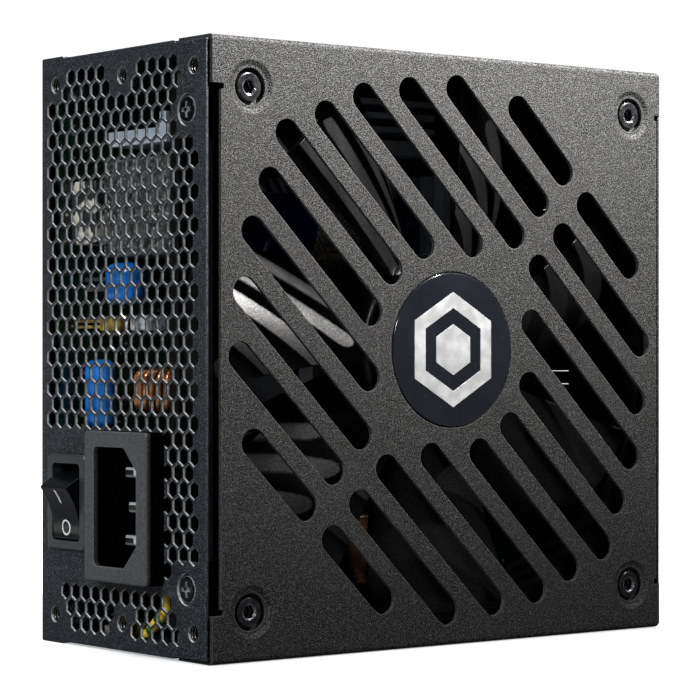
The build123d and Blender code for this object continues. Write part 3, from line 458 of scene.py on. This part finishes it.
def shrink_sleeve(name, colour, stripe, middle, radius):
    """A capacitor's shrunk film sleeve: gloss, rippled, with a pale dashed polarity stripe."""
    s = Shader(name)
    ripple = s.noise(2.2 * MM, 2.0, stretch=(0.3, 1.0, 1.0))
    tone = s.mix(s.ramp(ripple, 0.35, 0.75), shade(colour, 0.75), shade(colour, 1.5))
    across = s.math("ABSOLUTE", s.math("SUBTRACT", s.axis("Z"), middle + radius * 0.62))
    band = s.ramp(across, radius * 0.16, radius * 0.13)
    dashes = s.node("TexWave", 1, {"bands_direction": "X"}, Vector=s.place, Scale=120.0)
    mark = s.math("MULTIPLY", band, s.ramp(dashes, 0.35, 0.45))
    tone = s.mix(mark, tone, stripe)
    rough = s.ramp(ripple, 0.2, 0.8, 0.12, 0.26)
    return s.set(Base_Color=tone, Roughness=rough, Normal=s.bump(ripple, 0.05 * MM, 0.4))


def printed_label(name):
    """A pale paper label with plain bars and squares in place of print."""
    s = Shader(name)
    fibre = s.noise(0.12 * MM, 3.0)
    squares = s.node("TexChecker", 1, Vector=s.stretched((1.0, 0.001, 1.0)), Scale=1400.0)
    block = s.ramp(s.noise(3.2 * MM, 1.0, stretch=(1.0, 0.01, 1.0)), 0.52, 0.54)
    bars = s.ramp(s.noise(0.5 * MM, 1.0, stretch=(0.05, 0.01, 1.0)), 0.5, 0.54)
    tone = s.mix(s.ramp(fibre, 0.3, 0.7), (0.36, 0.34, 0.30), (0.48, 0.46, 0.42))
    ink = (0.03, 0.03, 0.03)
    in_block = s.math("MULTIPLY", block, s.math("MULTIPLY", squares, 0.8))
    beside_block = s.math("MULTIPLY", bars, s.ramp(block, 0.6, 0.4, 0.0, 0.8))
    tone = s.mix(beside_block, s.mix(in_block, tone, ink), ink)
    return s.set(Base_Color=tone, Roughness=s.ramp(fibre, 0.3, 0.7, 0.42, 0.55),
                 Normal=s.bump(fibre, 0.01 * MM, 0.4))


def gloss_disc(name, colour):
    """The badge: deep gloss over a slate ground, with a trace of polishing swirls and dust."""
    s = Shader(name)
    swirl = s.noise(0.5 * MM, 2.0, stretch=(1.0, 1.0, 0.12))
    ground = s.noise(7 * MM, 2.0)
    dust = s.ramp(s.cells(1.9 * MM), 0.05, 0.03, 0.0, 0.35)
    tone = s.mix(s.ramp(ground, 0.3, 0.75), shade(colour, 0.85), shade(colour, 1.2))
    tone = s.mix(dust, tone, (0.35, 0.36, 0.38))
    rough = s.ramp(swirl, 0.3, 0.8, 0.10, 0.17)
    return s.set(
        Base_Color=tone, Roughness=rough, Normal=s.soft_edges(0.3 * MM), Coat_Weight=0.6,
        Coat_Roughness=0.06,
    )


def rubber_sleeve(name):
    """Woven sleeve round the fan's lead."""
    s = Shader(name)
    braid = s.node(
        "TexWave", 1, {"wave_type": "RINGS"}, Vector=s.place, Scale=900.0, Distortion=3.0
    )
    tone = s.mix(s.ramp(braid, 0.3, 0.7), (0.012, 0.012, 0.013), (0.05, 0.05, 0.052))
    return s.set(Base_Color=tone, Roughness=s.ramp(braid, 0.2, 0.8, 0.4, 0.62),
                 Normal=s.bump(braid, 0.05 * MM, 0.6))


def studio_floor(name):
    """Pale paper sweep; light that it throws back at the object is held down, as by black flags."""
    s = Shader(name)
    cloudy = s.noise(0.3, 3.0)
    fine = s.noise(1.5 * MM, 2.0)
    seen = s.node("LightPath", 0)  # 1 for camera rays
    held_down = (0.10, 0.10, 0.10)
    lift = (0.42, 0.42, 0.42)
    tone = s.mix(s.ramp(cloudy, 0.3, 0.7), (0.86, 0.86, 0.855), (0.90, 0.90, 0.895))
    glow = s.mix(seen, (0.0, 0.0, 0.0), lift)
    tone = s.mix(seen, held_down, tone)
    return s.set(Base_Color=tone, Roughness=s.ramp(fine, 0.3, 0.7, 0.5, 0.6),
                 Normal=s.bump(fine, 0.02 * MM, 0.2), Emission_Color=glow, Emission_Strength=1.0)


# painted shade: the tray's coat is a darker, bluer version of the cover's, for its faces turned from
# the key
TRAY_COAT_SHADED = powder_coat(
    "tray_coat", (0.0104, 0.0120, 0.0142), 0.46, 0.25 * MM, 0.060 * MM, 9.0, 10.0, punched=True
)
COVER_COAT = powder_coat(
    "cover_coat", (0.0200, 0.0203, 0.0197), 0.52, 0.25 * MM, 0.055 * MM, 4.5, 7.0
)
BADGE = gloss_disc("badge_gloss", (0.009, 0.0105, 0.0145))
FOIL = cast_bar("emblem_foil", (0.66, 0.665, 0.67), 0.36)
BLACK_STEEL = blackened("black_steel", (0.040, 0.041, 0.043), (0.60, 0.61, 0.62))
SCREW_BLACK = blackened(
    "screw_black", (0.006, 0.006, 0.007), (0.85, 0.86, 0.87), 0.1 * MM, cut_wall_highlight=True
)
PINS = blade_pin("inlet_blades")
BRIGHT_STEEL = metal("bright_steel", (0.62, 0.62, 0.63), 0.26, (0.2, 1.0, 1.0))
THREAD_STEEL = metal("thread_steel", (0.34, 0.31, 0.28), 0.24)
FAN_BLACK = moulded("fan_black", (0.0018, 0.0018, 0.0020), 0.42, shine=0.14)
ROTOR_BLACK = moulded(
    "rotor_black", (0.004, 0.004, 0.0042), 0.30, 0.5 * MM, 0.04 * MM, shine=0.42
)
SINTERED = metal("sintered_brass", (0.62, 0.45, 0.20), 0.42)
BRASS = metal("brass", (0.74, 0.60, 0.34), 0.30)
COPPER = wire_enamel("copper_wire", (0.62, 0.20, 0.06), (0.90, 0.44, 0.20))
# a far darker copy of the copper wire: painted shade on the boost choke deep in the case
COPPER_IN_SHADE = wire_enamel("dark_copper_wire", (0.06, 0.020, 0.008), (0.16, 0.060, 0.022))
FERRITE = ferrite_material("ferrite")
SLEEVING = rubber_sleeve("lead_sleeve")
NYLON = moulded("natural_nylon", (0.62, 0.60, 0.52), 0.42)
INLET = inlet_mould("inlet_plastic", (0.050, 0.0515, 0.054), 0.40, -66.3 * MM)
BEZEL = moulded("bezel_plastic", (0.027, 0.028, 0.029), 0.34, 0.34 * MM, 0.05 * MM)
ROCKER = moulded(
    "rocker_plastic", (0.0022, 0.0028, 0.0036), 0.16, 0.6 * MM, 0.006 * MM, shine=0.36
)
BOARD = solder_mask("solder_mask", (0.0015, 0.012, 0.005))
BLUE_DIP_1 = lacquer("blue_dip_1", (0.012, 0.17, 0.58), 0.10, leg_plane=23.4 * MM)
BLUE_DIP_2 = lacquer("blue_dip_2", (0.012, 0.17, 0.58), 0.10, leg_plane=16.6 * MM)
BOX_PAIR = box_pair("box_pair", (0.42, 0.46, 0.50), (0.42, 0.30, 0.03), 6.8 * MM, -53.2 * MM)
EARTH = earth_sleeve("earth_sleeve", 4.4 * MM)
RELAY = glued_case("relay_case", (0.020, 0.020, 0.019), (0.62, 0.59, 0.50))
BLACK_EPOXY = moulded("black_epoxy", (0.022, 0.022, 0.024), 0.44, 0.5 * MM, 0.04 * MM)
CASTING = rough_casting("choke_casting")
TAPE = tape("yellow_tape", (0.20, 0.13, 0.02))
# darkened far below amber as painted shade, since the key lights the standby transformer straight on
AMBER_TAPE_IN_SHADE = tape("amber_tape", (0.020, 0.008, 0.003))
LABEL = printed_label("pale_label")
FINS = cast_bar("milled_aluminium", (0.66, 0.74, 0.84), 0.40)
CAN = metal("can_aluminium", (0.66, 0.67, 0.69), 0.24, (1.0, 0.1, 1.0))
FILM = lacquer("black_film", (0.015, 0.015, 0.017), 0.3)
SOCKET = moulded("socket_nylon", (0.012, 0.012, 0.013), 0.38)
CERAMIC = lacquer("white_ceramic", (0.70, 0.69, 0.65), 0.2)
WHITE_PRINT = moulded("white_print", (0.85, 0.86, 0.87), 0.40, 0.2 * MM, 0.005 * MM, 0.02 * MM)

bulk_low, bulk_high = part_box("bulk_capacitor")
SLEEVE = shrink_sleeve(
    "dark_blue_sleeve", (0.006, 0.016, 0.10), (0.45, 0.47, 0.52),
    (bulk_low.z + bulk_high.z) / 2, (bulk_high.z - bulk_low.z) / 2,
)

finishes = {
    TRAY_COAT_SHADED: ["housing_tray"],
    COVER_COAT: ["fan_cover"],
    BADGE: ["badge_disc"],
    FOIL: ["badge_emblem"],
    BLACK_STEEL: ["fan_screws"],
    SCREW_BLACK: ["cover_screws"],
    PINS: ["inlet_pins"],
    BRIGHT_STEEL: ["board_screws", "fan_shaft"],
    FAN_BLACK: ["fan_frame"],
    ROTOR_BLACK: ["fan_rotor"],
    SINTERED: ["fan_bearing"],
    COPPER: ["fan_stator", "line_choke_winding", "boost_choke_winding"],
    FERRITE: [
        "fan_magnet", "line_choke_core", "boost_choke_core", "transformer_core",
        "resonant_inductor",
    ],
    SLEEVING: ["fan_lead"],
    NYLON: ["fan_connector"],
    INLET: ["inlet_body"],
    BEZEL: ["switch_body"],
    ROCKER: ["switch_rocker"],
    BRASS: ["switch_terminals", "board_standoffs", "socket_terminals"],
    BOARD: [
        "filter_board", "main_board", "control_board", "upper_filter_board", "socket_board",
    ],
    FILM: ["insulating_sheet"],
    TAPE: ["transformer_winding"],
    AMBER_TAPE_IN_SHADE: ["standby_transformer"],
    LABEL: ["parts_label"],
    SLEEVE: ["bulk_capacitor"],
    CAN: ["output_capacitors"],
    BLUE_DIP_1: ["film_capacitor_1"],
    BLUE_DIP_2: ["film_capacitor_2"],
    BOX_PAIR: ["line_bypass_capacitors"],
    EARTH: ["earth_lead"],
    RELAY: ["relay"],
    BLACK_EPOXY: ["surge_resistor", "bridge_rectifier", "power_transistors"],
    CASTING: ["boxed_choke"],
    CERAMIC: ["fuse"],
    FINS: ["input_heatsink", "output_heatsink"],
    SOCKET: [node for node in frame["nodes"] if "_socket_" in node],
}


def finish_node(node, material):
    """Gives a node its one material."""
    mesh = frame["nodes"][node].data
    mesh.materials.clear()
    mesh.materials.append(material)


for material, nodes in finishes.items():
    for node in nodes:
        finish_node(node, material)


# ------------------------------------------------------------------ mesh building blocks


def piece(name, points, faces, material, body):
    """A smooth mesh object from points and faces that moves with a body."""
    mesh = bpy.data.meshes.new(name)
    mesh.from_pydata([tuple(point) for point in points], [], faces)
    mesh.materials.append(material)
    fix = bmesh.new()
    fix.from_mesh(mesh)
    bmesh.ops.recalc_face_normals(fix, faces=fix.faces)
    fix.to_mesh(mesh)
    fix.free()
    for face in mesh.polygons:
        face.use_smooth = True
    made = bpy.data.objects.new(name, mesh)
    bpy.context.scene.collection.objects.link(made)
    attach(made, body)
    return made


def tube(path, radius, sides=8):
    """Points and faces of a round tube along a path, with capped ends."""
    path = [Vector(point) for point in path]
    count = len(path)
    points = []
    faces = []
    side = None
    for index, here in enumerate(path):
        after = path[min(index + 1, count - 1)]
        before = path[max(index - 1, 0)]
        along = (after - before).normalized()
        if side is None:
            side = along.orthogonal().normalized()
        side = (side - along * side.dot(along)).normalized()
        other = along.cross(side)
        for step in range(sides):
            turn = 2 * math.pi * step / sides
            points.append(here + radius * (math.cos(turn) * side + math.sin(turn) * other))
    for ring in range(count - 1):
        low = ring * sides
        high = low + sides
        for step in range(sides):
            after = (step + 1) % sides
            faces.append((low + step, low + after, high + after, high + step))
    faces.append(tuple(range(sides)))
    faces.append(tuple(range((count - 1) * sides, count * sides)))
    return points, faces


def merged(shapes):
    """Several point and face lists joined into one."""
    points = []
    faces = []
    for more_points, more_faces in shapes:
        start = len(points)
        points += more_points
        faces += [tuple(corner + start for corner in face) for face in more_faces]
    return points, faces


def node_points(node):
    """The points of a node's mesh as rows."""
    return np.array([vertex.co for vertex in frame["nodes"][node].data.vertices])


# ------------------------------------------------------------------ wound chokes


def wound_ring(name, core, winding, axis, groups, enamel):
    """Copper turns round a ring core, inside the space of its winding node. groups are (start
    angle, end angle, wraps) in degrees about the axis, which is 0, 1 or 2 for X, Y or Z."""
    core_rounding = 0.9 * MM
    corner_steps = 5
    wire_share = 0.46  # just under half the skin, so that the wire stays inside it
    low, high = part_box(core)
    winding_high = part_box(winding)[1]
    middle = (low + high) / 2
    flat = [which for which in range(3) if which != axis]
    spread = node_points(core)[:, flat] - np.array([middle[flat[0]], middle[flat[1]]])
    reach = np.hypot(spread[:, 0], spread[:, 1])
    skin = winding_high[axis] - high[axis]
    wire = skin * wire_share
    half = (high[axis] - low[axis]) / 2 + skin / 2
    inner = reach.min() - skin / 2
    outer = reach.max() + skin / 2
    corner = core_rounding + skin / 2
    section = []
    corners = (
        (outer - corner, half - corner, 0), (inner + corner, half - corner, 90),
        (inner + corner, -half + corner, 180), (outer - corner, -half + corner, 270),
    )
    for radius, level, start in corners:
        for step in range(corner_steps):
            turn = math.radians(start + step * 90 / (corner_steps - 1))
            section.append((radius + corner * math.cos(turn), level + corner * math.sin(turn)))
    shapes = []
    for start, end, wraps in groups:
        path = []
        steps = wraps * len(section)
        for step in range(steps):
            angle = math.radians(start + (end - start) * step / steps)
            radius, level = section[step % len(section)]
            point = [0.0, 0.0, 0.0]
            point[flat[0]] = middle[flat[0]] + radius * math.cos(angle)
            point[flat[1]] = middle[flat[1]] + radius * math.sin(angle)
            point[axis] = middle[axis] + level
            path.append(point)
        shapes.append(tube(path, wire))
    turns = piece(name, *merged(shapes), enamel, "housing")
    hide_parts(winding)


wound_ring("line_choke_turns", "line_choke_core", "line_choke_winding", 2,
           [(-80.0, 80.0, 16), (100.0, 260.0, 16)], COPPER)
wound_ring("boost_choke_turns", "boost_choke_core", "boost_choke_winding", 1,
           [(-170.0, 170.0, 30)], COPPER_IN_SHADE)


# ------------------------------------------------------------------ rocker marks

rest_angle = math.radians(17.2)
rock_joint = next(joint for joint in frame["joints"] if joint["name"] == "switch_rock")
pivot = Vector(rock_joint["pos_m"])
rocker_up = Vector((-math.sin(rest_angle), 0, math.cos(rest_angle)))
rocker_out = Vector((-math.cos(rest_angle), 0, -math.sin(rest_angle)))
# the rocker's hollow face is an arc whose lowest line lies 6.75 mm out from the pivot
hollow_radius = 14.08 * MM
hollow_middle = 6.75 * MM + hollow_radius
print_height = 0.04 * MM
off_mark_up = -3.4 * MM
off_mark_radii = (1.25 * MM, 1.65 * MM)
on_mark_up = 3.5 * MM
# half width and half height of the bar; its inner outline is all but closed
on_mark_inner = (0.01 * MM, 1.4 * MM)
on_mark_outer = (0.25 * MM, 1.6 * MM)


def on_rocker(across, up, lift):
    """A point on the hollow face of the rocker, lifted off it."""
    level = hollow_middle - math.sqrt(hollow_radius ** 2 - up ** 2) + lift
    return pivot + rocker_up * up + rocker_out * level + Vector((0, across, 0))


def printed_band(name, outline_in, outline_out):
    """A raised printed band between two closed outlines on the rocker's face."""
    points = []
    rims = (
        (outline_out, 0.0), (outline_out, print_height),
        (outline_in, print_height), (outline_in, 0.0),
    )
    for outline, lift in rims:
        points += [on_rocker(across, up, lift) for across, up in outline]
    count = len(outline_in)
    faces = []
    for row in range(3):
        for step in range(count):
            after = (step + 1) % count
            faces.append((row * count + step, row * count + after,
                          (row + 1) * count + after, (row + 1) * count + step))
    made = piece(name, points, faces, WHITE_PRINT, "rocker")


def circle(radius, up):
    """A closed round outline as (across, up) points."""
    steps = 48
    turns = [2 * math.pi * step / steps for step in range(steps)]
    return [(radius * math.cos(turn), up + radius * math.sin(turn)) for turn in turns]


def bar(half_wide, half_tall, up):
    """A closed outline of a thin bar, with enough points to follow the hollow."""
    steps = 8
    ups = [half_tall * (2 * step / steps - 1) for step in range(steps + 1)]
    right = [(half_wide, up + level) for level in ups]
    left = [(-half_wide, up + level) for level in reversed(ups)]
    return right + left


printed_band("off_mark", *[circle(radius, off_mark_up) for radius in off_mark_radii])
printed_band("on_mark", bar(*on_mark_inner, on_mark_up), bar(*on_mark_outer, on_mark_up))


# ------------------------------------------------------------------ threads of the fixing holes

thread_radius = 1.66 * MM
thread_wire = 0.10 * MM
thread_pitch = 0.7 * MM
thread_x = (-62.3 * MM, -60.3 * MM)
thread_steps_round = 20
thread_sides = 6
fixing_y = [-26.5 * MM, -0.75 * MM, 25.0 * MM]
fixing_z = [6.0 * MM, 119.0 * MM]


def thread(y, z):
    """One helical crest inside a fixing hole."""
    turns = (thread_x[1] - thread_x[0]) / thread_pitch
    steps = int(turns * thread_steps_round)
    path = []
    for step in range(steps + 1):
        turn = 2 * math.pi * step / thread_steps_round
        along = thread_x[0] + thread_pitch * step / thread_steps_round
        path.append((along, y + thread_radius * math.cos(turn), z + thread_radius * math.sin(turn)))
    return tube(path, thread_wire, thread_sides)


threads = piece(
    "fixing_threads", *merged([thread(y, z) for y in fixing_y for z in fixing_z]), THREAD_STEEL,
    "housing",
)


# ------------------------------------------------------------------ studio


def light(name, kind, place, target, watts, colour=(1.0, 1.0, 1.0)):
    """A lamp at place that points at target; gives back its data."""
    data = bpy.data.lights.new(name, kind)
    data.energy = watts
    data.color = colour
    lamp = bpy.data.objects.new(name, data)
    lamp.location = place
    lamp.rotation_euler = (Vector(target) - Vector(place)).to_track_quat("-Z", "Y").to_euler()
    bpy.context.scene.collection.objects.link(lamp)
    return data


def soft_box(name, place, target, side, watts, colour=(1.0, 1.0, 1.0)):
    """A square area light."""
    data = light(name, "AREA", place, target, watts, colour)
    data.shape = "RECTANGLE"
    data.size = side
    data.size_y = side


object_middle = (cad_bounds[0] + cad_bounds[1]) / 2
above_top = Vector((0.18, cad_bounds[0].y, cad_bounds[1].z + 0.38))
key_half_angle = 18.0
warm_white = (1.0, 0.985, 0.965)
cool_white = (0.90, 0.95, 1.0)

# the key points past the top, so the slotted side darkens downwards and towards the rear panel
key = light("key", "SPOT", (0.60, -0.80, 1.00), above_top, 1770.0, warm_white)
key.spot_size = math.radians(2 * key_half_angle)
key.spot_blend = 1.0
key.shadow_soft_size = 0.05
soft_box("side_fill", (-1.2, -0.25, 0.75), object_middle, 0.3, 16.5, cool_white)
soft_box("overhead", (0.0, 0.45, 1.4), (0.0, 0.1, 0.0), 1.1, 22.0)
soft_box("back_fill", (0.9, 1.0, 0.7), object_middle, 0.9, 8.0)

backdrop_strength = 1.05
ambient_strength = 0.07
ambient_colour = (0.95, 0.97, 1.0, 1.0)
world = bpy.data.worlds.new("studio")
bpy.context.scene.world = world
world.use_nodes = True
tree = world.node_tree
backdrop = tree.nodes["Background"]
backdrop.inputs["Color"].default_value = (1.0, 1.0, 1.0, 1.0)
backdrop.inputs["Strength"].default_value = backdrop_strength
ambient = tree.nodes.new("ShaderNodeBackground")
ambient.inputs["Color"].default_value = ambient_colour
ambient.inputs["Strength"].default_value = ambient_strength
path = tree.nodes.new("ShaderNodeLightPath")
either = tree.nodes.new("ShaderNodeMixShader")
tree.links.new(path.outputs["Is Camera Ray"], either.inputs[0])
tree.links.new(ambient.outputs[0], either.inputs[1])
tree.links.new(backdrop.outputs[0], either.inputs[2])
tree.links.new(either.outputs[0], tree.nodes["World Output"].inputs["Surface"])

floor_half = 0.62
floor_gap = 0.1 * MM
floor_points = [(-floor_half, -floor_half, 0), (floor_half, -floor_half, 0),
                (floor_half, floor_half, 0), (-floor_half, floor_half, 0)]
floor_mesh = bpy.data.meshes.new("floor")
floor_mesh.from_pydata(floor_points, [], [(0, 1, 2, 3)])
floor_mesh.materials.append(studio_floor("floor"))
floor = bpy.data.objects.new("floor", floor_mesh)
floor.location.z = cad_bounds[0].z - floor_gap
bpy.context.scene.collection.objects.link(floor)

camera_data = bpy.data.cameras.new("camera")
camera_data.sensor_width = 36.0
camera_data.lens = 137.77
camera_data.clip_start = 0.01
camera = bpy.data.objects.new("camera", camera_data)
camera.location = (-0.36682, -0.46437, 0.06165)
camera.rotation_euler = (math.radians(90.078), 0.0, math.radians(-38.15))
bpy.context.scene.collection.objects.link(camera)
bpy.context.scene.camera = camera
bpy.context.scene.view_settings.view_transform = "Standard"
